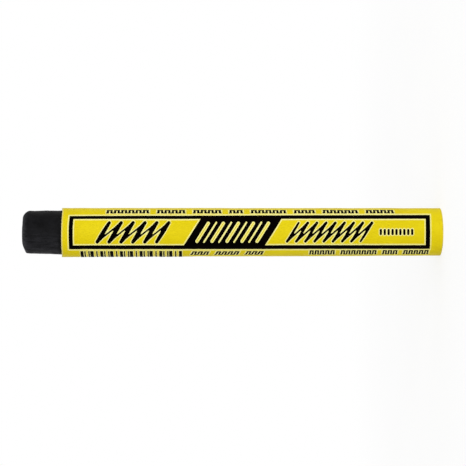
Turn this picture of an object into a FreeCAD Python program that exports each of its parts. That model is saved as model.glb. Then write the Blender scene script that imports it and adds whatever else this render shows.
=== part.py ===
import FreeCAD, Part
import os
import Sketcher
from math import acos, cos, degrees, radians, sin

# Solid paint marker: a moulded stick of waxy paint in a wound paper sleeve with a printed label.
#
# The marker stands on its tail. The origin is the centre of the tail face and +Z runs along
# the stick to the bare nose. The middle of the label faces -Y, so a view along +Y sees the
# print square on, and +X is the upper edge of the label. Millimetres throughout.

# Driving sizes: alias, value, what it is.
SIZES = [
    ("stick_diameter", 9.525, "three eighths of an inch of paint"),
    ("bare_nose", 8.6, "paint that stands out of the sleeve"),
    ("crown_height", 0.15, "bulge of the nose face"),
    ("nose_round", 1.25, "radius of the nose's rim"),
    ("worn_side_start", 1.5, "height above the sleeve's mouth where the rubbed side begins"),
    ("worn_side_depth", 0.32, "how far the rubbed side is cut in at the nose"),
    ("worn_edge_start", 2.1, "stick's axis to where the nose's lower edge is worn away"),
    ("worn_edge_depth", 0.93, "how far that edge is worn back at the side of the stick"),
    ("worn_tip_round", 2.0, "radius of the rubbed upper corner of the nose"),
    ("tail_recess", 0.3, "paint's rim inside the end of the sleeve"),
    ("dish_depth", 0.45, "shrinkage hollow in the middle of the tail"),
    ("sleeve_length", 81.4, "length of the wound paper"),
    ("paper_thickness", 0.09, "one turn of paper"),
    ("paper_turns", 5.0, "turns of paper around the stick"),
    ("lap_angle", 44.0, "degrees of the glued overlap at the back"),
    ("lap_run_in", 9.0, "degrees over which the overlap climbs onto the turn below"),
    ("ink_film", 0.05, "thickness of the printed film"),
    ("tail_margin", 2.87, "bare paper between the tail and the printed frame"),
    ("mouth_margin", 1.58, "bare paper between the sleeve's mouth and the printed frame"),
    ("frame_half_height", 3.55, "middle of the label to the frame's outer edge, seen square on"),
    ("frame_line", 0.8, "thickness of the frame's long lines"),
    ("frame_end_line", 0.95, "thickness of the frame's short lines"),
    ("lean", 0.64, "slope of all slanted print: run along the stick for each step up"),
    ("panel_shift", 3.58, "middle of the frame to the middle of the black panel"),
    ("panel_length", 17.25, "length of the black panel"),
    ("slot_margin", 1.8, "black left at each end of the panel's row of slots"),
    ("slot_clearance", 0.5, "frame's inner edge to the ends of the panel's bare slots"),
    ("slot_wide", 0.85, "width of a wide slot"),
    ("slot_narrow", 0.45, "width of a narrow slot"),
    ("bold_margin", 5.85, "bare paper at each end of the bold wave"),
    ("bold_stroke", 1.0, "width of a bold stroke"),
    ("bold_return", 0.34, "width of the thin stroke that leads to the next bold one"),
    ("bold_clearance", 0.39, "frame's inner edge to the bold wave"),
    ("fine_margin", 3.8, "bare paper between the panel and the fine wave"),
    ("fine_gap", 2.5, "bare paper between the row of ticks and the fine wave"),
    ("fine_stroke", 0.62, "width of a fine stroke"),
    ("fine_return", 0.36, "width of the thin stroke that leads to the next fine one"),
    ("fine_clearance", 0.6, "frame's inner edge to the fine wave"),
    ("tick_margin", 2.65, "bare paper between the frame and the row of ticks"),
    ("tick_pitch", 0.84, "from one tick to the next"),
    ("tick_width", 0.5, "width of a tick"),
    ("tick_half_height", 0.64, "height of a tick each side of the middle"),
    ("bars_margin", 2.35, "frame's mouth end to the first bar"),
    ("bars_gap", 0.32, "frame's lower edge to the bar field, both seen from below"),
    ("bars_back", 1.9, "edge of the bar field behind the stick's axis"),
    ("thin_bar", 0.3, "width of a thin bar"),
    ("thin_bar_pitch", 0.84, "from one thin bar to the next"),
    ("thick_bar", 0.75, "width of a thick bar"),
    ("thick_bar_pitch", 2.1, "from one thick bar to the next"),
]

SLOT_COUNT = 5
BOLD_COUNT = 6
FINE_COUNT = 9
TICK_COUNT = 9
THIN_BAR_COUNT = 26
THICK_BAR_COUNT = 11

# Sizes that follow from the driving ones, as expressions.
STICK_RADIUS = "Sizes.stick_diameter / 2"
STICK_TOP = "(Sizes.sleeve_length + Sizes.bare_nose)"
SLEEVE_RADIUS = "(Sizes.stick_diameter / 2 + Sizes.paper_turns * Sizes.paper_thickness)"
LAP_RADIUS = "(Sizes.stick_diameter / 2 + (Sizes.paper_turns + 1) * Sizes.paper_thickness)"
INK_RADIUS = "(" + SLEEVE_RADIUS + " + Sizes.ink_film)"
PRISM_DEPTH = "(" + SLEEVE_RADIUS + " + 2 * Sizes.ink_film)"
FRAME_INNER = "(Sizes.frame_half_height - Sizes.frame_line)"
BARS_FRONT = ("(sqrt(" + SLEEVE_RADIUS + "^2 - Sizes.frame_half_height^2)"
              " - Sizes.bars_gap)")

# Places along the stick, measured where each slanted edge crosses the label's middle.
FRAME_LOW = "Sizes.tail_margin"
FRAME_HIGH = "(Sizes.sleeve_length - Sizes.mouth_margin)"
FIELD_LOW = "(" + FRAME_LOW + " + Sizes.frame_end_line)"
FIELD_HIGH = "(" + FRAME_HIGH + " - Sizes.frame_end_line)"
PANEL_MIDDLE = "((" + FRAME_LOW + " + " + FRAME_HIGH + ") / 2 + Sizes.panel_shift)"
PANEL_LOW = "(" + PANEL_MIDDLE + " - Sizes.panel_length / 2)"
PANEL_HIGH = "(" + PANEL_MIDDLE + " + Sizes.panel_length / 2)"
TICKS_LOW = "(" + FIELD_LOW + " + Sizes.tick_margin)"
TICKS_HIGH = ("(" + TICKS_LOW + " + " + str(TICK_COUNT - 1) + " * Sizes.tick_pitch"
              " + Sizes.tick_width)")

# Turns a prism's own X to the stick's Z, its Y to X and its Z to Y.
LIE_ALONG_STICK = FreeCAD.Rotation(FreeCAD.Vector(1, 1, 1), 240)


def add_sizes(doc):
    """Write the driving sizes into the sheet, one row each, with an alias."""
    sheet = doc.addObject("Spreadsheet::Sheet", "Sizes")
    for row, (alias, value, meaning) in enumerate(SIZES, start=1):
        sheet.set("A" + str(row), alias)
        sheet.set("B" + str(row), str(value))
        sheet.set("C" + str(row), meaning)
        sheet.setAlias("B" + str(row), alias)
    doc.recompute()
    return sheet


def bind(thing, **expressions):
    """Tie properties to expressions; a double underscore stands for a dot."""
    for name, expression in expressions.items():
        thing.setExpression(name.replace("__", "."), expression)
    return thing


def new_sketch(body, name, plane):
    """A sketch on one of the body's own origin planes."""
    sketch = body.newObject("Sketcher::SketchObject", name)
    planes = [p for p in body.Origin.OriginFeatures if p.Role == plane]
    sketch.AttachmentSupport = [(planes[0], "")]
    sketch.MapMode = "FlatFace"
    return sketch


def hold(sketch, kind, *places, to=None, start=1.0):
    """Add a constraint and, with `to`, drive its value by an expression."""
    if to is None:
        return sketch.addConstraint(Sketcher.Constraint(kind, *places))
    index = sketch.addConstraint(Sketcher.Constraint(kind, *places, start))
    sketch.setExpression("Constraints[" + str(index) + "]", to)
    return index


def line(x1, y1, x2, y2):
    """A straight edge in a sketch."""
    return Part.LineSegment(FreeCAD.Vector(x1, y1, 0), FreeCAD.Vector(x2, y2, 0))


def round_edge(x, y, radius, first, last):
    """A round edge in a sketch about a centre, counter-clockwise between two angles in degrees."""
    circle = Part.Circle(FreeCAD.Vector(x, y, 0), FreeCAD.Vector(0, 0, 1), radius)
    return Part.ArcOfCircle(circle, radians(first), radians(last))


def cap_radius(half_width, height):
    """Radius of the arc that rises by `height` over `half_width`."""
    return (half_width ** 2 + height ** 2) / (2 * height)


def paint_stick(doc, size):
    """The moulded paint: a turned stick with a crowned nose, a dished tail and a used tip."""
    body = doc.addObject("PartDesign::Body", "paint_stick")
    profile = new_sketch(body, "stick_profile", "XZ_Plane")
    radius = size["stick_diameter"] / 2
    top = size["sleeve_length"] + size["bare_nose"]
    rim = radius - size["nose_round"]
    shoulder = top - size["crown_height"] - size["nose_round"]
    low = size["tail_recess"]
    dish_top = low + size["dish_depth"]
    crown_radius = cap_radius(rim, size["crown_height"])
    dish_radius = cap_radius(radius, size["dish_depth"])
    dish_edge = degrees(acos(radius / dish_radius))
    crown_edge = degrees(acos(rim / crown_radius))
    add = profile.addGeometry
    dish = add(round_edge(0, dish_top - dish_radius, dish_radius, dish_edge, 90))
    wall = add(line(radius, low, radius, shoulder))
    corner = add(round_edge(rim, shoulder, size["nose_round"], 0, 90))
    crown = add(round_edge(0, top - crown_radius, crown_radius, crown_edge, 90))
    axis = add(line(0, top, 0, dish_top))
    hold(profile, "Coincident", dish, 1, wall, 1)
    hold(profile, "Tangent", wall, 2, corner, 1)
    hold(profile, "Coincident", corner, 2, crown, 1)
    hold(profile, "Coincident", crown, 2, axis, 1)
    hold(profile, "Coincident", axis, 2, dish, 2)
    hold(profile, "Vertical", wall)
    for place, end in ((axis, 1), (axis, 2), (crown, 3), (dish, 3)):
        hold(profile, "PointOnObject", place, end, -2)
    hold(profile, "DistanceX", -1, 1, wall, 1, to=STICK_RADIUS, start=radius)
    hold(profile, "DistanceY", -1, 1, wall, 1, to="Sizes.tail_recess", start=low)
    hold(profile, "DistanceY", -1, 1, axis, 2, start=dish_top,
         to="Sizes.tail_recess + Sizes.dish_depth")
    hold(profile, "DistanceY", -1, 1, axis, 1, to=STICK_TOP, start=top)
    hold(profile, "Radius", corner, to="Sizes.nose_round", start=size["nose_round"])
    hold(profile, "DistanceX", -1, 1, crown, 1, start=rim,
         to=STICK_RADIUS + " - Sizes.nose_round")
    hold(profile, "DistanceY", crown, 1, axis, 1, start=size["crown_height"],
         to="Sizes.crown_height")
    turned = body.newObject("PartDesign::Revolution", "stick_turned")
    turned.Profile = profile
    turned.ReferenceAxis = (profile, ["V_Axis"])
    turned.Angle = 360
    mouth = size["sleeve_length"]
    rub_flat(body, "side_rubbed_flat", size,
             start=mouth + size["worn_side_start"], start_to="Sizes.sleeve_length"
             " + Sizes.worn_side_start",
             inner=radius - size["worn_side_depth"], inner_to=STICK_RADIUS
             + " - Sizes.worn_side_depth")
    rub_flat(body, "edge_rubbed_flat", size,
             start=top - size["worn_edge_depth"], start_to=STICK_TOP + " - Sizes.worn_edge_depth",
             inner=size["worn_edge_start"], inner_to="Sizes.worn_edge_start")
    rub_corner(body, size)
    return body


def cut_through(body, sketch, name):
    """Cut a sketch through the body on both sides of its plane."""
    pocket = body.newObject("PartDesign::Pocket", name)
    pocket.Profile = sketch
    pocket.Type = "ThroughAll"
    pocket.SideType = "Symmetric"
    return pocket


def close_loop(sketch, edges):
    """Join the end of each edge to the start of the next, all the way round."""
    for first, second in zip(edges, edges[1:] + edges[:1]):
        hold(sketch, "Coincident", first, 2, second, 1)


def rub_flat(body, name, size, start, start_to, inner, inner_to):
    """A flat rubbed into the lower side of the nose as the stick is drawn over steel.

    It leaves the side of the stick at the height `start` and comes out of the nose's face at
    `inner` from the axis. The side's is long and shallow, the edge's short and steep.
    """
    sketch = new_sketch(body, name + "_outline", "XZ_Plane")
    radius = size["stick_diameter"] / 2
    top = size["sleeve_length"] + size["bare_nose"]
    flat = sketch.addGeometry(line(-radius, start, -inner, top))
    over = sketch.addGeometry(line(-inner, top, -2 * radius, top))
    out = sketch.addGeometry(line(-2 * radius, top, -2 * radius, start))
    back = sketch.addGeometry(line(-2 * radius, start, -radius, start))
    close_loop(sketch, [flat, over, out, back])
    hold(sketch, "Horizontal", over)
    hold(sketch, "Vertical", out)
    hold(sketch, "Horizontal", back)
    hold(sketch, "DistanceX", flat, 1, -1, 1, to=STICK_RADIUS, start=radius)
    hold(sketch, "DistanceY", -1, 1, flat, 1, to=start_to, start=start)
    hold(sketch, "DistanceX", flat, 2, -1, 1, to=inner_to, start=inner)
    hold(sketch, "DistanceY", -1, 1, flat, 2, to=STICK_TOP, start=top)
    hold(sketch, "DistanceX", out, 1, -1, 1, to="Sizes.stick_diameter", start=2 * radius)
    cut_through(body, sketch, name)


def rub_corner(body, size):
    """The upper corner of the nose, worn rounder than the moulded rim by use."""
    sketch = new_sketch(body, "rubbed_corner", "XZ_Plane")
    radius = size["stick_diameter"] / 2
    top = size["sleeve_length"] + size["bare_nose"]
    worn = size["worn_tip_round"]
    inside = radius - worn
    low = top - worn
    arc = sketch.addGeometry(round_edge(inside, low, worn, 0, 90))
    over = sketch.addGeometry(line(inside, top, 2 * radius, top))
    out = sketch.addGeometry(line(2 * radius, top, 2 * radius, low))
    back = sketch.addGeometry(line(2 * radius, low, radius, low))
    hold(sketch, "Tangent", arc, 2, over, 1)
    hold(sketch, "Coincident", over, 2, out, 1)
    hold(sketch, "Coincident", out, 2, back, 1)
    hold(sketch, "Coincident", back, 2, arc, 1)
    hold(sketch, "Horizontal", over)
    hold(sketch, "Vertical", out)
    hold(sketch, "Horizontal", back)
    hold(sketch, "Horizontal", arc, 3, arc, 1)
    hold(sketch, "Radius", arc, to="Sizes.worn_tip_round", start=worn)
    hold(sketch, "DistanceX", -1, 1, arc, 1, to=STICK_RADIUS, start=radius)
    hold(sketch, "DistanceY", -1, 1, over, 1, to=STICK_TOP, start=top)
    hold(sketch, "DistanceX", -1, 1, out, 1, to="Sizes.stick_diameter", start=2 * radius)
    cut_through(body, sketch, "corner_rubbed_round")


def paper_sleeve(doc, size):
    """The wound paper: a tube whose last turn laps over itself at the back with a free edge."""
    body = doc.addObject("PartDesign::Body", "paper_sleeve")
    section = new_sketch(body, "wound_section", "XY_Plane")
    bore = size["stick_diameter"] / 2
    outer = bore + size["paper_turns"] * size["paper_thickness"]
    lap = outer + size["paper_thickness"]
    lap_start = 90 - size["lap_angle"]
    climb_start = lap_start - size["lap_run_in"]
    add = section.addGeometry
    turn = add(round_edge(0, 0, outer, 90, 360 + climb_start))
    climb = add(line(*at_angle(outer, climb_start), *at_angle(lap, lap_start)))
    over = add(round_edge(0, 0, lap, lap_start, 90))
    edge = add(line(0, lap, 0, outer))
    hole = add(Part.Circle(FreeCAD.Vector(0, 0, 0), FreeCAD.Vector(0, 0, 1), bore))
    to_start = add(line(0, 0, *at_angle(lap, lap_start)))
    to_climb = add(line(0, 0, *at_angle(outer, climb_start)))
    section.setConstruction(to_start, True)
    section.setConstruction(to_climb, True)
    for round_one in (turn, over, hole):
        hold(section, "Coincident", round_one, 3, -1, 1)
    for ray in (to_start, to_climb):
        hold(section, "Coincident", ray, 1, -1, 1)
    hold(section, "Coincident", turn, 2, climb, 1)
    hold(section, "Coincident", climb, 2, over, 1)
    hold(section, "Coincident", over, 2, edge, 1)
    hold(section, "Coincident", edge, 2, turn, 1)
    hold(section, "Coincident", to_start, 2, over, 1)
    hold(section, "Coincident", to_climb, 2, climb, 1)
    hold(section, "PointOnObject", edge, 1, -2)
    hold(section, "PointOnObject", edge, 2, -2)
    hold(section, "Radius", turn, to=SLEEVE_RADIUS, start=outer)
    hold(section, "Radius", over, to=LAP_RADIUS, start=lap)
    hold(section, "Radius", hole, to=STICK_RADIUS, start=bore)
    hold(section, "Angle", -1, 1, to_start, 1, start=radians(lap_start),
         to="(90 - Sizes.lap_angle) * 1 deg")
    hold(section, "Angle", -1, 1, to_climb, 1, start=radians(climb_start),
         to="(90 - Sizes.lap_angle - Sizes.lap_run_in) * 1 deg")
    pad = body.newObject("PartDesign::Pad", "wound_tube")
    pad.Profile = section
    bind(pad, Length="Sizes.sleeve_length")
    return body


def at_angle(radius, angle):
    """X and Y of a point on a circle about the stick's axis, at an angle in degrees."""
    return radius * cos(radians(angle)), radius * sin(radians(angle))


def ink_skin(doc):
    """The thin tube, one film thick, that all the print is cut from."""
    outside = doc.addObject("Part::Cylinder", "ink_outside")
    bind(outside, Radius=INK_RADIUS, Height="Sizes.sleeve_length")
    inside = doc.addObject("Part::Cylinder", "ink_inside")
    bind(inside, Radius=SLEEVE_RADIUS, Height="Sizes.sleeve_length")
    skin = doc.addObject("Part::Cut", "ink_skin")
    skin.Base = outside
    skin.Tool = inside
    return skin


def stroke(doc, name, middle, width, bottom, top, lean="Sizes.lean"):
    """A slanted stroke of print as a prism from the stick's axis out to the front.

    `middle` is where its centre line crosses the label's middle and `lean` is how far it
    runs to the tail for each step up. All are expressions.
    """
    prism = doc.addObject("Part::Wedge", name)
    prism.Placement.Rotation = LIE_ALONG_STICK
    low_edge = "(" + middle + ") - (" + lean + ") * (" + bottom + ")"
    high_edge = "(" + middle + ") - (" + lean + ") * (" + top + ")"
    bind(prism,
         Xmin=low_edge + " - (" + width + ") / 2",
         Xmax=low_edge + " + (" + width + ") / 2",
         X2min=high_edge + " - (" + width + ") / 2",
         X2max=high_edge + " + (" + width + ") / 2",
         Ymin=bottom,
         Ymax=top,
         Zmin="-" + PRISM_DEPTH,
         Zmax="0",
         Z2min="-" + PRISM_DEPTH,
         Z2max="0")
    return prism


class Row:
    """Copies that share a stretch of the label, at even steps from its low to its high end."""

    def __init__(self, low, high, width, count):
        self.count = count
        self.low = "(" + low + " + " + width + " / 2)"
        self.step = "((" + high + " - " + low + " - " + width + ") / " + str(count - 1) + ")"

    def place(self, index):
        """Where the centre of one copy lies, as an expression."""
        return self.low + " + " + str(index) + " * " + self.step


def zigzag(doc, name, row, width, thin, reach):
    """A running wave: slanted strokes, each led to the next by a thin return stroke."""
    prisms = []
    return_lean = "Sizes.lean + " + row.step + " / 2 / " + reach
    for index in range(row.count):
        prisms.append(stroke(doc, name, row.place(index), width, "-" + reach, reach))
    for index in range(row.count - 1):
        prisms.append(stroke(doc, name + "_return", row.place(index + 0.5), thin, "-" + reach,
                             reach, lean=return_lean))
    return prisms


def join(doc, name, shapes):
    """Join overlapping prisms."""
    joined = doc.addObject("Part::MultiFuse", name)
    joined.Shapes = shapes
    return joined


def printed(doc, label, skin, art):
    """The part of the ink skin that lies over the artwork's prisms."""
    film = doc.addObject("Part::Common", label)
    film.Base = skin
    film.Tool = art
    film.Label = label
    return film


def print_frame(doc, skin):
    """The black frame around the label."""
    reach = "Sizes.frame_half_height"
    middle = "(" + FRAME_LOW + " + " + FRAME_HIGH + ") / 2"
    length = FRAME_HIGH + " - " + FRAME_LOW
    line_width = "Sizes.frame_end_line"
    sides = [
        stroke(doc, "frame_upper", middle, length, FRAME_INNER, reach, lean="0"),
        stroke(doc, "frame_lower", middle, length, "-" + reach, "-" + FRAME_INNER, lean="0"),
        stroke(doc, "frame_tail_end", FRAME_LOW + " + " + line_width + " / 2", line_width,
               "-" + reach, reach, lean="0"),
        stroke(doc, "frame_mouth_end", FRAME_HIGH + " - " + line_width + " / 2", line_width,
               "-" + reach, reach, lean="0"),
    ]
    return printed(doc, "print_frame", skin, join(doc, "frame_art", sides))


def print_panel(doc, skin):
    """The slanted black panel inside the frame, with bare slots where the paper shows.

    It is printed as a band above the slots, a band below them and the black bars between.
    """
    reach = "(" + FRAME_INNER + " - Sizes.slot_clearance)"
    wide = "Sizes.slot_wide"
    narrow = "Sizes.slot_narrow"
    margin = "Sizes.slot_margin"
    slots = Row("(" + PANEL_LOW + " + " + margin + ")", "(" + PANEL_HIGH + " - " + margin + ")",
                wide, SLOT_COUNT)
    bar_width = slots.step + " / 2 - " + wide + " / 2 - " + narrow + " / 2"
    aside = "(" + slots.step + " + " + wide + " - " + narrow + ") / 4"
    black = [
        stroke(doc, "panel_upper", PANEL_MIDDLE, "Sizes.panel_length", reach,
               FRAME_INNER),
        stroke(doc, "panel_lower", PANEL_MIDDLE, "Sizes.panel_length",
               "-" + FRAME_INNER, "-" + reach),
        stroke(doc, "panel_end", PANEL_LOW + " + " + margin + " / 2", margin, "-" + reach, reach),
        stroke(doc, "panel_end", PANEL_HIGH + " - " + margin + " / 2", margin, "-" + reach, reach),
    ]
    for index in range(SLOT_COUNT - 1):
        for place in (slots.place(index) + " + " + aside, slots.place(index + 1) + " - " + aside):
            black.append(stroke(doc, "panel_bar", place, bar_width, "-" + reach, reach))
    films = [printed(doc, "panel_film", skin, prism) for prism in black]
    panel = join(doc, "print_panel", films)
    panel.Label = "print_panel"
    return panel


def print_bold_wave(doc, skin):
    """The bold wave in the label's field next to the mouth."""
    row = Row("(" + PANEL_HIGH + " + Sizes.bold_margin)", "(" + FIELD_HIGH + " - Sizes.bold_margin)",
              "Sizes.bold_stroke", BOLD_COUNT)
    prisms = zigzag(doc, "bold", row, "Sizes.bold_stroke", "Sizes.bold_return",
                    "(" + FRAME_INNER + " - Sizes.bold_clearance)")
    return printed(doc, "print_bold_wave", skin, join(doc, "bold_art", prisms))


def print_fine_wave(doc, skin):
    """The fine wave in the label's field next to the tail, with its row of ticks."""
    row = Row("(" + TICKS_HIGH + " + Sizes.fine_gap)", "(" + PANEL_LOW + " - Sizes.fine_margin)",
              "Sizes.fine_stroke", FINE_COUNT)
    prisms = zigzag(doc, "fine", row, "Sizes.fine_stroke", "Sizes.fine_return",
                    "(" + FRAME_INNER + " - Sizes.fine_clearance)")
    reach = "Sizes.tick_half_height"
    ticks = Row(TICKS_LOW, TICKS_HIGH, "Sizes.tick_width", TICK_COUNT)
    for index in range(TICK_COUNT):
        prisms.append(stroke(doc, "tick", ticks.place(index), "Sizes.tick_width", "-" + reach,
                             reach, lean="0"))
    return printed(doc, "print_fine_wave", skin, join(doc, "fine_art", prisms))


def bars(doc, name, width, pitch, count):
    """Even bars across the label's lower side, from the mouth end towards the tail."""
    blocks = []
    for index in range(count):
        block = doc.addObject("Part::Box", name)
        top = FRAME_HIGH + " - Sizes.bars_margin - " + str(index) + " * " + pitch
        bind(block,
             Length=PRISM_DEPTH,
             Width=BARS_FRONT + " + Sizes.bars_back",
             Height=width,
             Placement__Base__x="-" + PRISM_DEPTH,
             Placement__Base__y="-" + BARS_FRONT,
             Placement__Base__z=top + " - " + width)
        blocks.append(block)
    return blocks


def print_bars(doc, skin):
    """The field of uneven bars: thin and thick ones at two rhythms that run together."""
    blocks = bars(doc, "thin_bar", "Sizes.thin_bar", "Sizes.thin_bar_pitch", THIN_BAR_COUNT)
    blocks += bars(doc, "thick_bar", "Sizes.thick_bar", "Sizes.thick_bar_pitch", THICK_BAR_COUNT)
    return printed(doc, "print_bars", skin, join(doc, "bars_art", blocks))


def check(doc, pieces):
    """Stop if any object failed to compute or any piece is empty or broken."""
    for thing in doc.Objects:
        if "Invalid" in thing.State or "Error" in thing.State:
            raise RuntimeError("failed: " + thing.Name)
    for piece in pieces:
        if piece.Shape.isNull() or not piece.Shape.isValid() or not piece.Shape.Solids:
            raise RuntimeError("no sound solid: " + piece.Label)


def main():
    """Build the marker and write each piece as a STEP file."""
    doc = FreeCAD.newDocument("paint_marker")
    add_sizes(doc)
    size = {alias: value for alias, value, _ in SIZES}
    skin = ink_skin(doc)
    pieces = [
        paint_stick(doc, size),
        paper_sleeve(doc, size),
        print_frame(doc, skin),
        print_panel(doc, skin),
        print_bold_wave(doc, skin),
        print_fine_wave(doc, skin),
        print_bars(doc, skin),
    ]
    doc.recompute()
    check(doc, pieces)
    os.makedirs("parts", exist_ok=True)
    for piece in pieces:
        piece.Shape.exportStep("parts/" + piece.Label + ".step")
        print(piece.Label, len(piece.Shape.Solids), "solids", round(piece.Shape.Volume, 3), "mm3")


main()
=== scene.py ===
"""Looks of a solid paint marker: a waxy black stick in a wound yellow paper sleeve.

The marker stands on its tail at the origin with +Z to the bare nose. The middle of the printed
label faces -Y and +X is the label's upper edge. Shapes are worked out in millimetres and put
into their meshes in metres. Angles on the sleeve are measured from the middle of the label,
towards +X. The studio is in metres.
"""

import logging
from dataclasses import dataclass, field, replace
from enum import Enum
from math import cos, hypot, pi, radians, sin, sqrt
from typing import Mapping, Sequence

import bpy
import numpy as np
from mathutils import Matrix, Vector


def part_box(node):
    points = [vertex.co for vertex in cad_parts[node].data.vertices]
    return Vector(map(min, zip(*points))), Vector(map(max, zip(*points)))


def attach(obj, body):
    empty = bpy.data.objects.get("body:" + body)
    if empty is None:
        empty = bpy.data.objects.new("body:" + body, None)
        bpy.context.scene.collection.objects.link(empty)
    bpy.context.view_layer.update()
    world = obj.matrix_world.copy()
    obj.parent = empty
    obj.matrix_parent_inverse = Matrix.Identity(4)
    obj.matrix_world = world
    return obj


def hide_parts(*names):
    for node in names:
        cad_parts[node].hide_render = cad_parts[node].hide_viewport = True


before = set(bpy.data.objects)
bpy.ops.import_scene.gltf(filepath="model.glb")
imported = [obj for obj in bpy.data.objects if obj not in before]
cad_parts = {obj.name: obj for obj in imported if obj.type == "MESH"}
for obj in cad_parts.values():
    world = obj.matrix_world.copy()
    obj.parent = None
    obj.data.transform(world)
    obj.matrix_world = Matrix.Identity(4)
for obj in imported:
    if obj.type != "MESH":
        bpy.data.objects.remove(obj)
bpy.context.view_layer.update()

log = logging.getLogger("paint_marker")

Array = np.ndarray
Rgb = tuple[float, float, float]
Triple = tuple[float, float, float]
Pair = tuple[float, float]
Layer = tuple[float, float, int]

MM = 0.001
PHOTO_PIXELS = 466
BODY = "root"
NO_INK = -99.0


class Slot(Enum):
    """Names of the record's material slots. A coat keeps one; no piece is given a slot here."""

    PAINT = "black_paint"
    PAPER = "yellow_paper"
    INK = "black_ink"


class Mark(Enum):
    """Numbers from 0 to 1 that a mesh keeps on its vertices for its finish."""

    CUT_EDGE = "cut_edge"
    # Painted shade: darker paper in the grooves between turns and at the foot of the free edge.
    PAINTED_SHADE = "painted_shade"
    # Stains on the paper, and painted shade at the tail end.
    STAIN_AND_SHADE = "stain_and_shade"
    # Rubbed paint, and a painted sheen on the lower side of the paint.
    RUBBED_AND_SHEEN = "rubbed_and_sheen"


def srgb(display: Rgb) -> tuple[float, ...]:
    """Turn a display colour into the linear one that a shader takes, by the sRGB curve.

    Args:
        display: Red, green and blue from 0 to 255.

    Returns:
        Linear red, green and blue from 0 to 1, and full opacity.
    """
    shares = [part / 255 for part in display]
    linear = [s / 12.92 if s <= 0.04045 else ((s + 0.055) / 1.055) ** 2.4 for s in shares]
    return (*linear, 1.0)


def ease(value: Array | float, low: float, high: float) -> Array:
    """Rise smoothly from 0 at `low` to 1 at `high`, as 3t^2 - 2t^3."""
    share = np.clip((np.asarray(value, float) - low) / (high - low), 0.0, 1.0)
    return share * share * (3.0 - 2.0 * share)


def soft_max(first: Array, second: Array, radius: float) -> Array:
    """Join two ink fields with a fillet: their maximum plus radius*h*(1-h) near where they meet."""
    share = np.clip(0.5 + 0.5 * (first - second) / radius, 0.0, 1.0)
    return second + (first - second) * share + radius * share * (1.0 - share)


def sway(at: Array, waves: Sequence[Triple], level: float = 0.0) -> Array:
    """A level plus sines of `at`, each given by its height, its pace and its start."""
    return sum((height * np.sin(at * pace + start) for height, pace, start in waves), level)


def lumps(x: Array, y: Array, z: Array, size: float, seed: int, waves: int = 14,
          spread: Pair = (0.6, 1.5)) -> Array:
    """Even-grained lumps from -1 to 1 or so: a sum of sines along random directions in space.

    Args:
        x: X of each point in millimetres.
        y: Y of each point.
        z: Z of each point.
        size: Size of one lump in millimetres.
        seed: Seed of the random directions.
        waves: How many sines are added.
        spread: Least and greatest pace of a sine, as a share of the even one.

    Returns:
        The height of the lumps at each point.
    """
    random = np.random.default_rng(seed)
    total = np.zeros(np.broadcast(x, y, z).shape)
    for _ in range(waves):
        way = random.normal(size=3)
        way *= 2.0 * pi / size * random.uniform(*spread) / np.linalg.norm(way)
        total += np.sin(way[0] * x + way[1] * y + way[2] * z + random.uniform(0.0, 2.0 * pi))
    return total / sqrt(waves)


def lump_layers(x: Array, y: Array, z: Array, layers: Sequence[Layer]) -> Array:
    """Lumps of several sizes added up, each layer given by its height, size and seed."""
    return sum(height * lumps(x, y, z, size, seed) for height, size, seed in layers)


def new_piece(name: str, points: Array, corners: Array, sides: Array, material: bpy.types.Material,
              crease: float) -> bpy.types.Object:
    """Make a mesh object from whole arrays and let it ride on the marker's one body.

    Args:
        name: Name of the piece.
        points: Vertices in millimetres, one row each.
        corners: Vertex of each face corner, all faces one after another.
        sides: Number of corners of each face.
        material: Finish of the piece.
        crease: Edges that turn by more degrees than this stay sharp.

    Returns:
        The object, linked to the scene.
    """
    mesh = bpy.data.meshes.new(name)
    mesh.vertices.add(len(points))
    mesh.vertices.foreach_set("co", (points * MM).astype(np.float32).ravel())
    mesh.loops.add(len(corners))
    mesh.loops.foreach_set("vertex_index", corners.astype(np.int32))
    mesh.polygons.add(len(sides))
    starts = np.concatenate(([0], np.cumsum(sides)[:-1]))
    mesh.polygons.foreach_set("loop_start", starts.astype(np.int32))
    mesh.polygons.foreach_set("use_smooth", np.ones(len(sides), bool))
    mesh.update(calc_edges=True)
    mesh.validate()
    mesh.set_sharp_from_angle(angle=radians(crease))
    mesh.materials.append(material)
    piece = bpy.data.objects.new(name, mesh)
    bpy.context.scene.collection.objects.link(piece)
    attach(piece, BODY)
    return piece


def keep_numbers(piece: bpy.types.Object, mark: Mark, numbers: Array) -> None:
    """Keep a number for each vertex on the mesh."""
    layer = piece.data.attributes.new(mark.value, "FLOAT", "POINT")
    layer.data.foreach_set("value", numbers.astype(np.float32).ravel())


def ring_faces(rows: int, columns: int, close_rows: bool) -> tuple[Array, Array]:
    """Quads of a grid that closes on itself along its columns, and along its rows if asked.

    Args:
        rows: Number of rows of vertices.
        columns: Number of vertices in a row.
        close_rows: Whether the last row joins the first.

    Returns:
        Face corners one after another and the number of sides of each face.
    """
    row = np.arange(rows if close_rows else rows - 1)[:, None]
    column = np.arange(columns)[None, :]
    up, beside = (row + 1) % rows, (column + 1) % columns
    quads = np.stack([row * columns + column, row * columns + beside,
                      up * columns + beside, up * columns + column], axis=-1)
    corners = quads.reshape(-1)
    return corners, np.full(len(corners) // 4, 4)


@dataclass(frozen=True)
class Grain:
    """Noise of a finish: its lumps' size in millimetres, its detail, its stretch on each axis."""

    size: float
    detail: float = 2.0
    stretch: Triple = (1.0, 1.0, 1.0)


PAPER_FIBRE = Grain(0.22, 3.0, (1.0, 1.0, 0.35))


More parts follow.
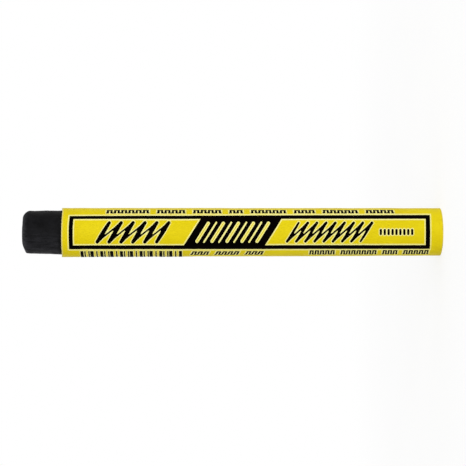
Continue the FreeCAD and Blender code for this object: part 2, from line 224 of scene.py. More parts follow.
class Value:
    """A number or colour that varies over a surface. Arithmetic on it adds Math nodes."""

    def __init__(self, graph: "Graph", socket: bpy.types.NodeSocket) -> None:
        """Wrap one output socket of a graph."""
        self.graph = graph
        self.socket = socket

    def __add__(self, other: "Value | float") -> "Value":
        """Sum with a value or number."""
        return self.graph.maths("ADD", self, other)

    def __radd__(self, other: float) -> "Value":
        """Sum with a number on the left."""
        return self.graph.maths("ADD", other, self)

    def __sub__(self, other: "Value | float") -> "Value":
        """Difference from a value or number."""
        return self.graph.maths("SUBTRACT", self, other)

    def __rsub__(self, other: float) -> "Value":
        """Difference of a number and this."""
        return self.graph.maths("SUBTRACT", other, self)

    def __mul__(self, other: "Value | float") -> "Value":
        """Product with a value or number."""
        return self.graph.maths("MULTIPLY", self, other)

    def __rmul__(self, other: float) -> "Value":
        """Product with a number on the left."""
        return self.graph.maths("MULTIPLY", other, self)

    def towards(self, other: "Value", share: float) -> "Value":
        """This and another number averaged, with `share` of the other."""
        return self * (1.0 - share) + other * share


class Graph:
    """The nodes of one material or world."""

    def __init__(self, tree: bpy.types.NodeTree) -> None:
        """Start from an empty tree."""
        self.tree = tree
        tree.nodes.clear()

    def node(self, kind: str, settings: Mapping[str, object] | None = None,
             inputs: Mapping[str | int, object] | None = None) -> bpy.types.Node:
        """Add a node of any type.

        Args:
            kind: Blender's name of the node type.
            settings: The node's own settings.
            inputs: Values or links of its sockets, by name or number.

        Returns:
            The node.
        """
        made = self.tree.nodes.new(kind)
        for name, value in (settings or {}).items():
            setattr(made, name, value)
        for name, value in (inputs or {}).items():
            if isinstance(value, Value):
                self.tree.links.new(value.socket, made.inputs[name])
            else:
                made.inputs[name].default_value = value
        return made

    def value(self, kind: str, settings: Mapping[str, object] | None = None,
              inputs: Mapping[str | int, object] | None = None, output: str | int = 0) -> Value:
        """Add a node, as `node` does, and take one of its outputs."""
        return Value(self, self.node(kind, settings, inputs).outputs[output])

    def maths(self, operation: str, *values: Value | float) -> Value:
        """Add a Math node."""
        return self.value("ShaderNodeMath", {"operation": operation}, dict(enumerate(values)))

    def mix(self, mask: Value | float, low: Value | tuple, high: Value | tuple) -> Value:
        """Blend two colours by a mask from 0 to 1. Several sockets share a name, so by number."""
        return self.value("ShaderNodeMix", {"data_type": "RGBA"}, {0: mask, 6: low, 7: high}, 2)

    def between(self, value: Value, low: float, high: float) -> Value:
        """Rise smoothly from 0 at `low` to 1 at `high` and stay there."""
        return self.value("ShaderNodeMapRange", {"interpolation_type": "SMOOTHSTEP"},
                          {"Value": value, "From Min": low, "From Max": high})

    def coordinates(self) -> Value:
        """Object coordinates in metres."""
        return self.value("ShaderNodeTexCoord", output="Object")

    def grain(self, grain: Grain) -> Value:
        """Noise from 0 to 1 about 0.5, fixed to the piece.

        Args:
            grain: The noise's size, detail and stretch.

        Returns:
            The noise.
        """
        scale = tuple(share / MM for share in grain.stretch)
        where = self.value("ShaderNodeMapping", None,
                           {"Vector": self.coordinates(), "Scale": scale})
        return self.value("ShaderNodeTexNoise", None, {
            "Vector": where, "Scale": 1.0 / grain.size, "Detail": grain.detail}, "Fac")

    def mark(self, mark: Mark) -> Value:
        """A number kept on the mesh's own vertices."""
        return self.value("ShaderNodeAttribute", {"attribute_name": mark.value}, output="Fac")

    def bump(self, height: Value, depth: float) -> Value:
        """A normal from a height of 0 to 1 that stands for `depth` millimetres."""
        return self.value("ShaderNodeBump", None, {"Height": height, "Distance": depth * MM})

    def surface(self, shader: Value) -> None:
        """Send a shader to the material's output."""
        self.node("ShaderNodeOutputMaterial", None, {"Surface": shader})

    def glossy_surface(self, colour: Value, rough: Value, normal: Value, gloss: float) -> None:
        """Give the material its colour, roughness, normal and share of gloss."""
        self.surface(self.value("ShaderNodeBsdfPrincipled", None, {
            "Base Color": colour, "Roughness": rough, "Normal": normal,
            "Specular IOR Level": gloss}))


def new_graph(name: str) -> tuple[bpy.types.Material, Graph]:
    """Make an empty material with its graph.

    Args:
        name: Name of the material.

    Returns:
        The material and its graph.
    """
    material = bpy.data.materials.new(name)
    material.use_nodes = True
    return material, Graph(material.node_tree)


@dataclass(frozen=True)
class PaperFinish:
    """Varnished yellow label paper: fine fibres, faint waves of colour, pale cut edges."""

    name: str = "yellow_paper"
    # The colours of the face, the cut edge, the painted shade in the grooves and under the free
    # edge, and the stains, whose colour also paints shade at the tail.
    yellow: Rgb = (232, 212, 20)
    deep_yellow: Rgb = (226, 204, 12)
    cut_paper: Rgb = (236, 228, 186)
    cream: Rgb = (214, 200, 124)
    # A dark yellow that paints shade in the grooves and under the free edge.
    shade_colour: Rgb = (122, 106, 38)
    # Dark colour of the stains, also used to paint shade at the tail end.
    stain_and_shade: Rgb = (52, 48, 40)
    # Where each of them shows.
    cloud: Grain = Grain(6.0, 3.0)
    fibre: Grain = PAPER_FIBRE
    fibre_share: float = 0.3
    mottle_span: Pair = (0.36, 0.66)
    smear_and_shade: Grain = Grain(0.7, 3.0)
    smear_and_shade_span: Pair = (0.5, 0.75)
    cream_span: Pair = (0.4, 0.75)
    # How it shines.
    sheen: Grain = Grain(1.6)
    sheen_swing: float = 0.16
    roughness: float = 0.46
    cut_roughness: float = 0.3
    gloss: float = 0.06
    ripple: Grain = Grain(0.9, 2.0, (1.0, 1.0, 0.25))
    ripple_share: float = 0.4
    grain_depth: float = 0.006

    def material(self) -> bpy.types.Material:
        """Build the material: two yellows mottled, then cut edges, painted shade and stains by the
        marks.

        Returns:
            The material.
        """
        material, graph = new_graph(self.name)
        fibre, cut_edge = graph.grain(self.fibre), graph.mark(Mark.CUT_EDGE)
        mottle = graph.between(graph.grain(self.cloud).towards(fibre, self.fibre_share),
                               *self.mottle_span)
        yellow = graph.mix(mottle, srgb(self.deep_yellow), srgb(self.yellow))
        cut = graph.mix(graph.between(fibre, *self.cream_span), srgb(self.cut_paper),
                        srgb(self.cream))
        bare = graph.mix(cut_edge, yellow, cut)
        # Painted shade in the grooves and at the foot of the free edge.
        with_painted_shade = graph.mix(graph.mark(Mark.PAINTED_SHADE), bare, srgb(self.shade_colour))
        # Stains, and painted shade at the tail end, in patches.
        smear_and_shade = graph.between(graph.grain(self.smear_and_shade), *self.smear_and_shade_span) * graph.mark(Mark.STAIN_AND_SHADE)
        colour = graph.mix(smear_and_shade, with_painted_shade, srgb(self.stain_and_shade))
        rough = (self.roughness + (graph.grain(self.sheen) - 0.5) * self.sheen_swing
                 + cut_edge * self.cut_roughness)
        height = fibre.towards(graph.grain(self.ripple), self.ripple_share)
        graph.glossy_surface(colour, rough, graph.bump(height, self.grain_depth), self.gloss)
        return material


@dataclass(frozen=True)
class InkFinish:
    """Printing ink on the paper: a little thin here and there, with the paper's grain under it."""

    name: str
    full: Rgb
    thin: Rgb
    patch: Grain = Grain(2.4, 3.0)
    fibre: Grain = PAPER_FIBRE
    fibre_share: float = 0.4
    patch_span: Pair = (0.45, 0.72)
    sheen: Grain = Grain(0.5)
    sheen_swing: float = 0.2
    roughness: float = 0.5
    gloss: float = 0.01
    grain_depth: float = 0.004

    def material(self) -> bpy.types.Material:
        """Build the material: full ink that thins in patches which follow the fibres.

        Returns:
            The material.
        """
        material, graph = new_graph(self.name)
        fibre = graph.grain(self.fibre)
        patchy = graph.between(graph.grain(self.patch).towards(fibre, self.fibre_share),
                               *self.patch_span)
        colour = graph.mix(patchy, srgb(self.full), srgb(self.thin))
        rough = self.roughness + (graph.grain(self.sheen) - 0.5) * self.sheen_swing
        graph.glossy_surface(colour, rough, graph.bump(fibre, self.grain_depth), self.gloss)
        return material


@dataclass(frozen=True)
class PaintFinish:
    """Solid waxy paint: dull black, paler bloom, rubbed places, painted sheen, fine drag marks."""

    name: str = "black_paint"
    black: Rgb = (9, 9, 10)
    bloom: Rgb = (23, 23, 25)
    # Pale grey of rubbed paint, also used for the painted sheen on the lower side.
    rubbed_and_sheen: Rgb = (50, 50, 54)
    cloud: Grain = Grain(2.6, 4.0)
    cloud_span: Pair = (0.35, 0.7)
    cloud_swing: float = 0.16
    drag: Grain = Grain(0.35, 3.0, (1.0, 1.0, 0.12))
    pits: Grain = Grain(0.16)
    pits_share: float = 0.4
    scuff_span: Pair = (0.34, 0.66)
    dimples: Grain = Grain(0.9)
    relief: Triple = (0.55, 0.3, 0.5)
    relief_depth: float = 0.035
    roughness: float = 0.6
    polish: float = 0.12
    gloss: float = 0.05

    def material(self) -> bpy.types.Material:
        """Build the material: black and bloom in clouds, paler and smoother by the mark, which
        holds the rubbed places and a painted sheen on the lower side.

        Returns:
            The material.
        """
        material, graph = new_graph(self.name)
        rubbed_and_sheen = graph.mark(Mark.RUBBED_AND_SHEEN)
        cloud = graph.between(graph.grain(self.cloud), *self.cloud_span)
        drag, pits = graph.grain(self.drag), graph.grain(self.pits)
        dull = graph.mix(cloud, srgb(self.black), srgb(self.bloom))
        # Rubbed places and the painted sheen on the lower side, in scuffy patches.
        scuffed = rubbed_and_sheen * graph.between(drag.towards(pits, self.pits_share), *self.scuff_span)
        colour = graph.mix(scuffed, dull, srgb(self.rubbed_and_sheen))
        rough = self.roughness + (cloud - 0.5) * self.cloud_swing - rubbed_and_sheen * self.polish
        of_drag, of_pits, of_dimples = self.relief
        height = drag * of_drag + pits * of_pits + graph.grain(self.dimples) * of_dimples
        graph.glossy_surface(colour, rough, graph.bump(height, self.relief_depth), self.gloss)
        return material


@dataclass
class PaperSleeve:
    """The wound paper: five turns and an overlap whose free edge runs down the back.

    A wave or drift is given by its height, its pace along the sleeve and its start.
    """

    # From the CAD nodes.
    length: float
    bore: float
    outer: float
    turn: float
    # The outside: the lap, the soft waves and the free edge.
    climb_start: float = radians(127.0)
    lap_start: float = radians(136.0)
    taper: float = 0.0625
    wave: float = 0.018
    wave_layers: tuple[Layer, ...] = ((1.0, 7.0, 11), (0.4, 2.6, 12))
    wave_stretch: float = 0.6
    edge_lift: float = 0.1
    lift_start: float = radians(172.0)
    lift_wave: Triple = (1.0, 0.31, 1.0)
    lift_span: Pair = (0.2, 1.0)
    drift: tuple[Triple, ...] = ((0.006, 0.11, 0.5), (0.003, 0.53, 0.0))
    drift_start: float = radians(150.0)
    # The cut ends and the bore.
    edge_round: float = 0.03
    flare: float = 0.05
    bore_slack: float = 0.01
    groove: float = 0.035
    groove_power: int = 4
    creep: float = 0.03
    creep_waves: tuple[Triple, ...] = ((0.25, 1.9, 0.0), (0.25, 4.7, 1.0))
    mouth_skew: float = 0.08
    mouth_stands: tuple[Pair, ...] = ((0.3, radians(90.0)), (0.17, radians(-90.0)))
    stand_spread: float = radians(17.0)
    mouth_reach: float = 4.0
    # The mesh.
    near_rows: tuple[float, ...] = (0.08, 0.16, 0.26, 0.4)
    wall_margin: float = 0.6
    wall_rows: int = 112
    bore_rows: tuple[float, ...] = (0.985, 0.9, 0.5, 0.1, 0.015)
    ring_rows: int = 40
    columns: int = 360
    crease: float = 40.0
    # The marks of wear, painted shade and dirt.
    worn_span: Pair = (0.06, 0.34)
    worn_mouth: float = 0.6
    worn_tail: float = 0.15
    edge_pale: float = 0.7
    edge_pale_start: float = radians(178.0)
    # Painted shade at the foot of the free edge and in the grooves between turns.
    edge_shade: float = 0.8
    edge_shade_end: float = radians(-177.5)
    groove_shade: float = 0.7
    soiled_turns: Pair = (1.0, 3.0)
    mouth_stain: float = 0.12
    mouth_stain_reach: float = 0.7
    # Painted shade: the outside darker towards the tail end.
    tail_shade: float = 0.2
    tail_shade_span: Pair = (0.1, 0.9)

    @classmethod
    def from_frame(cls) -> "PaperSleeve":
        """Take the sleeve's sizes from the boxes of the CAD nodes.

        Returns:
            The sleeve, whose free edge stands one turn of paper above the round.
        """
        low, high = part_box("paper_sleeve")
        stick_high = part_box("paint_stick")[1]
        return cls(length=high.z / MM, bore=stick_high.y / MM, outer=-low.x / MM,
                   turn=(high.y + low.x) / MM)

    def skin(self, angle: Array, z: Array) -> Array:
        """Radius of the outside: round, a little wider at the mouth, with soft waves and the lap.

        It is the outer radius, plus a taper that grows evenly along the stick, plus the lap's
        rise by one turn of paper, plus lumps, plus a lift of the glued edge that comes and goes.

        Args:
            angle: Angle on the sleeve.
            z: Height on the sleeve.

        Returns:
            The radius at each place.
        """
        x, y = self.outer * np.sin(angle), -self.outer * np.cos(angle)
        rise = self.turn * ease(angle, self.climb_start, self.lap_start)
        comes_and_goes = ease(sway(z, [self.lift_wave]), *self.lift_span)
        lift = ease(angle, self.lift_start, pi) * comes_and_goes
        soft = lump_layers(x, y, z * self.wave_stretch, self.wave_layers)
        return (self.outer + self.taper * (2.0 * z / self.length - 1.0) + rise
                + self.edge_lift * lift + self.wave * soft)

    def wall_heights(self) -> Array:
        """Heights of the outside's rows, as a column, closer together at both ends.

        Returns:
            The heights from the tail to the mouth.
        """
        near = np.array(self.near_rows)
        middle = np.linspace(self.wall_margin, self.length - self.wall_margin, self.wall_rows)
        rows = [[self.edge_round], near, middle, self.length - near[::-1],
                [self.length - self.edge_round]]
        return np.concatenate(rows)[:, None]

    def end_ring(self, angle: Array, at: float) -> tuple[Array, Array, Array]:
        """One cut end, where the turns of paper show as rings.

        The layer is how many turns lie inside a place, less the lap's climb. A power of a cosine
        of it makes a groove where two turns meet, and sines of the whole turns and the angle make
        a slow creep from turn to turn.

        Args:
            angle: Angle of each column.
            at: Height on the sleeve at which the end meets the outside.

        Returns:
            Radius, depth under the square end and depth into the groove from 0 to 1, from the
            bore outwards.
        """
        share = np.linspace(0.0, 1.0, self.ring_rows)[:, None]
        inside = self.bore + self.flare
        outside = self.skin(angle, np.full((1, 1), at)) - self.edge_round
        count = (outside - inside) / self.turn
        layer = share * count - ease(angle, self.climb_start, self.lap_start)
        groove = (0.5 + 0.5 * np.cos(2.0 * pi * layer)) ** self.groove_power
        run = np.floor(layer) + angle / (2.0 * pi)
        depth = self.groove * groove + self.creep * sway(run, self.creep_waves, 0.5)
        return inside + (outside - inside) * share, depth, groove

    def mouth_drop(self, angle: Array, z: Array) -> Array:
        """How far the mouth's cut lies under a square one, which fades out down the sleeve.

        A sine round the axis, less a bell curve at each place that stands up.

        Args:
            angle: Angle on the sleeve.
            z: Height on the sleeve.

        Returns:
            The drop at each place.
        """
        stand = sum(rise * np.exp(-((angle - middle) / self.stand_spread) ** 2)
                    for rise, middle in self.mouth_stands)
        skew = self.mouth_skew * np.sin(angle) - stand
        return skew * ease(z, self.length - self.mouth_reach, self.length)

    def build(self, finish: PaperFinish) -> bpy.types.Object:
        """Build the tube: a closed section carried round the axis.

        The section's first parameter runs up the outside, over the mouth's ring of turns, down
        the bore, which winds outwards by a hair, and back over the tail's ring. The second is
        the angle, and the free edge wanders a little from a straight line.

        Args:
            finish: Finish of the paper.

        Returns:
            The sleeve.
        """
        angle = np.linspace(-pi, pi, self.columns + 1)[None, :]
        wall_z = self.wall_heights()
        wall = self.skin(angle, wall_z)
        low_z, high_z = wall_z[[0, -1], 0]
        tail_radius, tail_depth, tail_groove = self.end_ring(angle, low_z)
        mouth_radius, mouth_depth, mouth_groove = self.end_ring(angle, high_z)
        bore_z = np.array(self.bore_rows)[:, None] * self.length + 0.0 * angle
        bore = self.bore + self.bore_slack * (2.0 + angle / pi) + 0.0 * bore_z
        radius = np.concatenate([wall, mouth_radius[::-1], bore, tail_radius])
        z = np.concatenate([wall_z + 0.0 * angle, self.length - mouth_depth[::-1], bore_z,
                            tail_depth])
        groove = np.concatenate([0.0 * wall, mouth_groove[::-1], 0.0 * bore, tail_groove])
        cut = np.ones(z.shape)
        cut[:len(wall)] = 0.0
        turned = angle + sway(z, self.drift) * ease(np.abs(angle), self.drift_start, pi)
        points = np.stack([radius * np.sin(turned), -radius * np.cos(turned),
                           z - self.mouth_drop(turned, z)], axis=-1)
        corners, sides = ring_faces(len(z), self.columns + 1, close_rows=True)
        piece = new_piece("wound_paper", points.reshape(-1, 3), corners, sides,
                          finish.material(), self.crease)
        self.mark(piece, angle, radius, z, cut, groove)
        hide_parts("paper_sleeve")
        return piece

    def mark(self, piece: bpy.types.Object, angle: Array, radius: Array, z: Array, cut: Array,
             groove: Array) -> None:
        """Keep on the mesh where the paper is bare, where shade is painted, and where it is soiled.

        It is bare on the cut ends, and worn pale beside them and on the free edge. Painted shade
        darkens the grooves and the foot of the free edge. The innermost turns are soiled, there is
        a trace of paint at the mouth, and painted shade darkens the outside at the tail.

        Args:
            piece: The sleeve.
            angle: Angle of each column.
            radius: Radius of each vertex.
            z: Height of each vertex.
            cut: 1 on the cut ends and in the bore, 0 on the outside.
            groove: Depth of each vertex into a groove, from 0 to 1.
        """
        skin = 1.0 - cut
        worn = np.maximum(self.worn_mouth * (1.0 - ease(self.length - z, *self.worn_span)),
                          self.worn_tail * (1.0 - ease(z, *self.worn_span)))
        on_edge = self.edge_pale * ease(angle, self.edge_pale_start, pi) + 0.0 * z
        # Painted shade at the foot of the free edge.
        under_edge = self.edge_shade * (1.0 - ease(angle, -pi, self.edge_shade_end))
        soiled, clean = (self.bore + turns * self.turn for turns in self.soiled_turns)
        inner = cut * (1.0 - ease(radius, soiled, clean))
        mouth = self.mouth_stain * skin * ease(z, self.length - self.mouth_stain_reach, self.length)
        # Painted shade: the outside darker towards the tail end.
        tail = self.tail_shade * skin * (1.0 - ease(z, *self.tail_shade_span))
        keep_numbers(piece, Mark.CUT_EDGE, np.maximum.reduce([cut, worn, on_edge]))
        # Painted shade in the grooves and at the foot of the free edge.
        keep_numbers(piece, Mark.PAINTED_SHADE, self.groove_shade * groove + skin * under_edge)
        keep_numbers(piece, Mark.STAIN_AND_SHADE, np.maximum.reduce([inner, mouth, tail]))


@dataclass
class PaintStick:
    """The moulded paint: a dished tail inside the sleeve, a straight body and a used nose."""

    # From the CAD nodes.
    radius: float
    top: float
    mouth: float
    # The moulded form.
    low: float = 0.3
    dish: float = 0.45
    crown: float = 0.15
    rim_round: float = 1.25
    # What use has done to the nose.
    worn_corner: Pair = (1.9, 1.5)
    worn_power: float = 1.5
    flat_start: float = 1.5
    flat_depth: float = 0.42
    edge_start: float = 2.1
    edge_depth: float = 0.86
    blend: float = 0.06
    chip: Triple = (-3.95, -2.2, 89.2)
    chip_depth: float = 0.16
    chip_size: float = 0.42
    # The bare paint's place and roughness.
    bare_span: Pair = (0.1, 1.2)
    aside: float = 0.04
    shrink: float = 0.01
    rough_layers: tuple[Layer, ...] = ((0.034, 5.0, 21), (0.014, 1.7, 22), (0.006, 0.6, 23))
    # The mesh.
    dish_rows: tuple[float, float, int] = (0.02, 1.0, 14)
    hidden_margins: Pair = (0.2, 0.6)
    hidden_rows: int = 14
    bare_margins: Pair = (0.5, 0.05)
    bare_step: float = 0.1
    rim_rows: int = 16
    crown_rows: tuple[float, float, int] = (0.97, 0.01, 34)
    columns: int = 320
    crease: float = 50.0
    # The rubbed places, and the painted sheen on the lower side.
    moved_span: Pair = (0.02, 0.2)
    rim_depths: Pair = (1.6, 0.3)
    rim_radii: Pair = (2.0, 4.2)
    # Painted sheen: the bare paint paler towards the lower side, -X.
    painted_sheen_span: Pair = (-2.5, 4.5)
    rubbed_and_sheen_shares: Triple = (0.5, 0.5, 0.8)
    rubbed_and_sheen_poles: Pair = (0.0, 0.3)

    @classmethod
    def from_frame(cls) -> "PaintStick":
        """Take the stick's sizes from the boxes of the CAD nodes."""
        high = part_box("paint_stick")[1]
        return cls(radius=high.y / MM, top=high.z / MM, mouth=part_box("paper_sleeve")[1].z / MM)

    def profile(self) -> tuple[Array, Array]:
        """Radius and height from the middle of the tail to the middle of the nose.

        The dish is a parabola, the wall straight, the rim a quarter circle and the crown a
        shallow parabola that meets it.

        Returns:
            Radius and height of each row.
        """
        dish_radius = np.linspace(*self.dish_rows) * self.radius
        dish_z = self.low + self.dish * (1.0 - (dish_radius / self.radius) ** 2)
        shoulder = self.top - self.crown - self.rim_round
        hidden_z = np.linspace(self.low + self.hidden_margins[0],
                               self.mouth - self.hidden_margins[1], self.hidden_rows)
        bare_z = np.arange(self.mouth - self.bare_margins[0], shoulder - self.bare_margins[1],
                           self.bare_step)
        turn = np.linspace(0.0, pi / 2, self.rim_rows)
        rim = self.radius - self.rim_round
        crown_radius = np.linspace(*self.crown_rows) * rim
        crown_z = self.top - self.crown * (crown_radius / rim) ** 2
        radius = np.concatenate([dish_radius, np.full(len(hidden_z) + len(bare_z), self.radius),
                                 rim + self.rim_round * np.cos(turn), crown_radius])
        z = np.concatenate([dish_z, hidden_z, bare_z, shoulder + self.rim_round * np.sin(turn),
                            crown_z])
        return radius, z

    def rub_flats(self, x: Array, y: Array, z: Array) -> tuple[Array, Array, Array]:
        """Rub a flat on the lower side and a steeper one on the lower edge.

        Each flat is a plane that leaves the side at one height and the nose's face at one
        distance from the axis. A point outside it comes back along the line to a centre inside
        the nose, by the share of its way at which that line meets the plane. The least share is
        taken, with a fillet.

        Args:
            x: X of each point.
            y: Y of each point.
            z: Z of each point.

        Returns:
            The points' new places.
        """
        centre = self.top - self.radius
        share = np.ones(x.shape)
        for low, inner in ((self.mouth + self.flat_start, self.radius - self.flat_depth),
                           (self.top - self.edge_depth, self.edge_start)):
            run, climb = self.radius - inner, self.top - low
            normal_x, normal_z = -climb / hypot(run, climb), run / hypot(run, climb)
            held = (low - centre) * normal_z - self.radius * normal_x
            out = x * normal_x + (z - centre) * normal_z
            share = -soft_max(-share, -held / np.maximum(out, 0.01), self.blend)
        return x * share, y * share, centre + (z - centre) * share

    def round_corner(self, x: Array, z: Array) -> tuple[Array, Array]:
        """Wear the upper corner to a flattened round.

        Points whose two distances from the round's centre, each over its reach and to a power,
        add up to more than one are pulled towards that centre until they add up to one.

        Args:
            x: X of each point.
            z: Z of each point.

        Returns:
            The points' new X and Z.
        """
        wide, high = self.worn_corner
        across, up = (x - self.radius) / wide + 1.0, (z - self.top) / high + 1.0
        reach = (np.maximum(across, 0.0) ** self.worn_power
                 + np.maximum(up, 0.0) ** self.worn_power) ** (1.0 / self.worn_power)
        outside = (across > 0.0) & (up > 0.0) & (reach > 1.0)
        pull = np.where(outside, 1.0 / np.maximum(reach, 1.0), 1.0)
        return (self.radius + wide * (across * pull - 1.0),
                self.top + high * (up * pull - 1.0))

    def dent(self, x: Array, y: Array, z: Array) -> tuple[Array, Array, Array]:
        """Press a chip into the rim: a bell curve of the distance, inwards and half as much down.

        Args:
            x: X of each point.
            y: Y of each point.
            z: Z of each point.

        Returns:
            The points' new places.
        """
        near = ((x - self.chip[0]) ** 2 + (y - self.chip[1]) ** 2 + (z - self.chip[2]) ** 2)
        depth = self.chip_depth * np.exp(-near / (2.0 * self.chip_size ** 2))
        return x * (1.0 - depth / self.radius), y * (1.0 - depth / self.radius), z - 0.5 * depth

    def faces(self, rows: int) -> tuple[Array, Array]:
        """Quads of the turned profile and a fan of triangles at each pole.

        Args:
            rows: Number of rows of vertices. The tail's and the nose's pole come after them.

        Returns:
            Face corners one after another and the number of sides of each face.
        """
        corners, sides = ring_faces(rows, self.columns, close_rows=False)
        first = np.arange(self.columns)
        beside = (first + 1) % self.columns
        last = (rows - 1) * self.columns
        tail_pole = np.full_like(first, rows * self.columns)
        tail_fan = np.stack([beside, first, tail_pole], axis=-1)
        nose_fan = np.stack([last + first, last + beside, tail_pole + 1], axis=-1)
        return (np.concatenate([corners, tail_fan.ravel(), nose_fan.ravel()]),
                np.concatenate([sides, np.full(2 * self.columns, 3)]))

    def build(self, finish: PaintFinish) -> bpy.types.Object:
        """Build the stick: its profile turned about the axis, then worn and roughened.

        Each point moves away from the axis, or on the nose from a centre inside it, by lumps of
        three sizes, which fade out inside the sleeve, and the bare paint sits a hair towards the
        label's lower edge. The two poles are single points that close the ends.

        Args:
            finish: Finish of the paint.

        Returns:
            The stick.
        """
        radius, height = self.profile()
        angle = np.linspace(0.0, 2.0 * pi, self.columns, endpoint=False)[None, :]
        new_x, new_y = radius[:, None] * np.sin(angle), -radius[:, None] * np.cos(angle)
        new_z = height[:, None] + 0.0 * angle
        x, y, z = self.rub_flats(new_x, new_y, new_z)
        x, z = self.round_corner(x, z)
        x, y, z = self.dent(x, y, z)
        bare = ease(z, *(self.mouth + reach for reach in self.bare_span))
        rough = lump_layers(x, y, z, self.rough_layers) * bare
        away = np.stack([x, y, np.maximum(z - (self.top - self.radius), 0.0)], axis=-1)
        away /= np.maximum(np.linalg.norm(away, axis=-1, keepdims=True), 1e-6)
        grid = (np.stack([x - self.aside * bare, y, z], axis=-1)
                + away * (rough - self.shrink * bare)[..., None])
        poles = np.array([[0.0, 0.0, self.low + self.dish], [0.0, 0.0, grid[-1, :, 2].mean()]])
        points = np.concatenate([grid.reshape(-1, 3), poles])
        corners, sides = self.faces(len(radius))
        piece = new_piece("paint", points, corners, sides, finish.material(),
                          self.crease)
        moved = ease(np.hypot(x - new_x, z - new_z), *self.moved_span)
        rim = (ease(z, *(self.top - depth for depth in self.rim_depths))
               * ease(np.hypot(x, y), *self.rim_radii))
        of_moved, of_rim, of_painted_sheen = self.rubbed_and_sheen_shares
        # Painted sheen: the bare paint grows paler towards the lower side, -X, as a painted
        # reflection.
        held = of_painted_sheen * ease(-x, *self.painted_sheen_span) * bare
        rubbed_and_sheen = np.clip(moved * of_moved + of_rim * rim + held, 0.0, 1.0)
        keep_numbers(piece, Mark.RUBBED_AND_SHEEN, np.concatenate([rubbed_and_sheen.ravel(), self.rubbed_and_sheen_poles]))
        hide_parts("paint_stick")
        return piece


@dataclass(frozen=True)
class Coat:
    """How a film of print is laid: its material, its slot and its height above the paper."""

    material: bpy.types.Material
    slot: Slot
    height: float


@dataclass(frozen=True)
class Places:
    """Places on the label: their height on the sleeve and their distance across the label."""

    z: Array
    x: Array

    def blank(self) -> Array:
        """An ink field with nothing printed."""
        return np.full(np.broadcast(self.z, self.x).shape, NO_INK)


